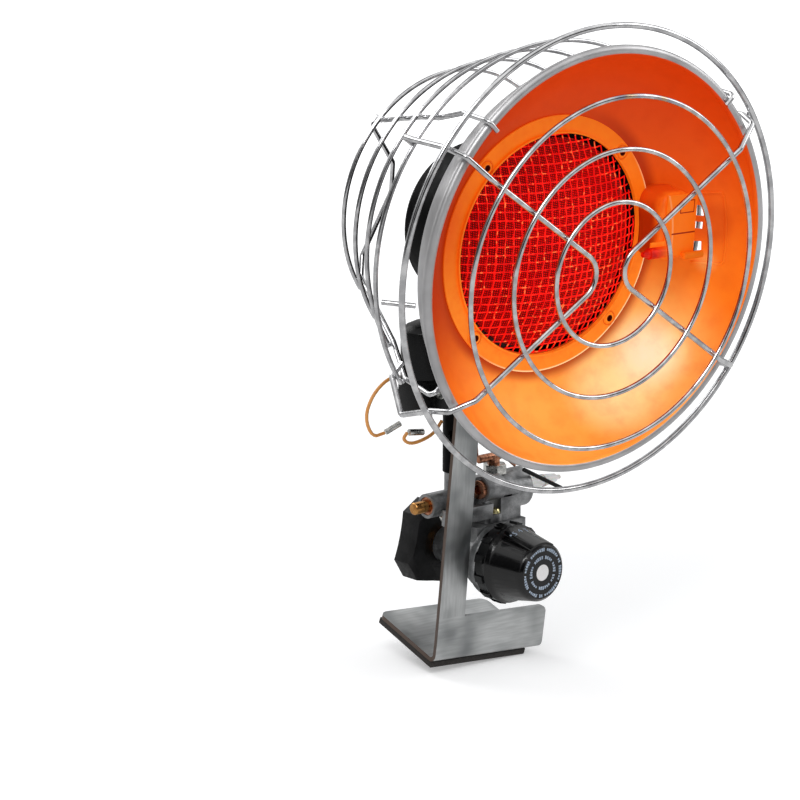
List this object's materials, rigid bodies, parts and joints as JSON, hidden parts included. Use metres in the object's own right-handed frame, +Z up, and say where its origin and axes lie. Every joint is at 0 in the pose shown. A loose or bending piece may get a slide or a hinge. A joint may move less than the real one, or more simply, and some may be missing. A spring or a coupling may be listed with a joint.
{
  "type": "portable propane heater",
  "caption": "Tank-top radiant gas heater: dished reflector with a glowing screen burner, wire guard, bracket foot, regulator with turning knob, coupling nut and sprung valve pin.",
  "frame": {"origin": "centre of the mouth of the gas inlet, at the tip of its nose", "axes": "+Y along the inlet into the cylinder valve, which is away from the control knob; +Z up along the bracket towards the reflector; +X to the right as seen from the knob"},
  "size_m": [0.2382, 0.1612, 0.3461],
  "materials": {
    "dish": "reflective",
    "plate": "satin",
    "eyelet": "satin",
    "screen": "woven",
    "black": "semi-gloss",
    "wire": "bright",
    "zinc": "galvanised",
    "rubber": "matte",
    "cast": "as cast",
    "diaphragm": "matte",
    "brass": "satin",
    "knob": "gloss",
    "dot": "gloss",
    "nut": "matte",
    "screw": "zinc plated",
    "copper": "satin",
    "cap": "matte",
    "boot": "clear",
    "sleeve": "matte",
    "lead": "satin",
    "tin": "tinned",
    "switch": "satin",
    "probe": "satin"
  },
  "bodies": {
    "heater": {"reflector_dish": "dish", "burner_plate": "plate", "burner_eyelets": "eyelet", "outer_screen": "screen", "inner_screen": "screen", "burner_cup": "black", "diffuser_plate": "black", "mixing_tube": "black", "gas_jet": "brass", "sensor_bracket": "plate", "sensor_screw": "screw", "thermocouple": "probe", "front_ring": "wire", "face_ring_outer": "wire", "face_ring_middle": "wire", "face_ring_inner": "wire", "cross_wire_right": "wire", "cross_wire_left": "wire", "side_ring_1": "wire", "side_ring_2": "wire", "side_ring_3": "wire", "side_ring_4": "wire", "rear_frame_right": "wire", "rear_frame_left": "wire", "side_struts": "wire", "support_bracket": "zinc", "bracket_screws": "screw", "bracket_nuts": "screw", "foot_pad": "rubber", "regulator_body": "cast", "diaphragm": "diaphragm", "front_cover": "cast", "inlet_nipple": "brass", "inlet_seal": "rubber", "valve_body": "cast", "valve_screws": "screw", "gallery_plug": "brass", "pin_bush": "brass", "magnet_ring": "screw", "magnet_cap": "cap", "lead_boot": "boot", "sleeve_rod": "sleeve", "junction_nut": "tin", "junction_fitting": "copper", "copper_lead": "copper", "copper_tail": "copper", "tilt_switch": "switch", "switch_base": "switch", "switch_screw": "screw", "can_lead": "lead", "loop_lead": "lead", "lead_crimp": "tin", "spade_connectors": "tin"},
    "knob": {"control_knob": "knob", "knob_dot": "dot", "adjusting_stem": "brass"},
    "nut": {"coupling_nut": "nut"},
    "pin": {"push_pin": "brass"}
  },
  "joints": [
    {"name": "knob_turn", "type": "hinge", "parent": "heater", "child": "knob", "pos_m": [0, -0.08, 0], "axis": [0, 1, 0], "range_deg": [0, 270]},
    {"name": "nut_turn", "type": "hinge", "parent": "heater", "child": "nut", "pos_m": [0, -0.015, 0], "axis": [0, 1, 0], "continuous": true},
    {"name": "pin_push", "type": "slide", "parent": "heater", "child": "pin", "axis": [1, 0, 0], "range_m": [0, 0.004], "stiffness_N_per_m": 400, "springref_m": -0.002}
  ]
}
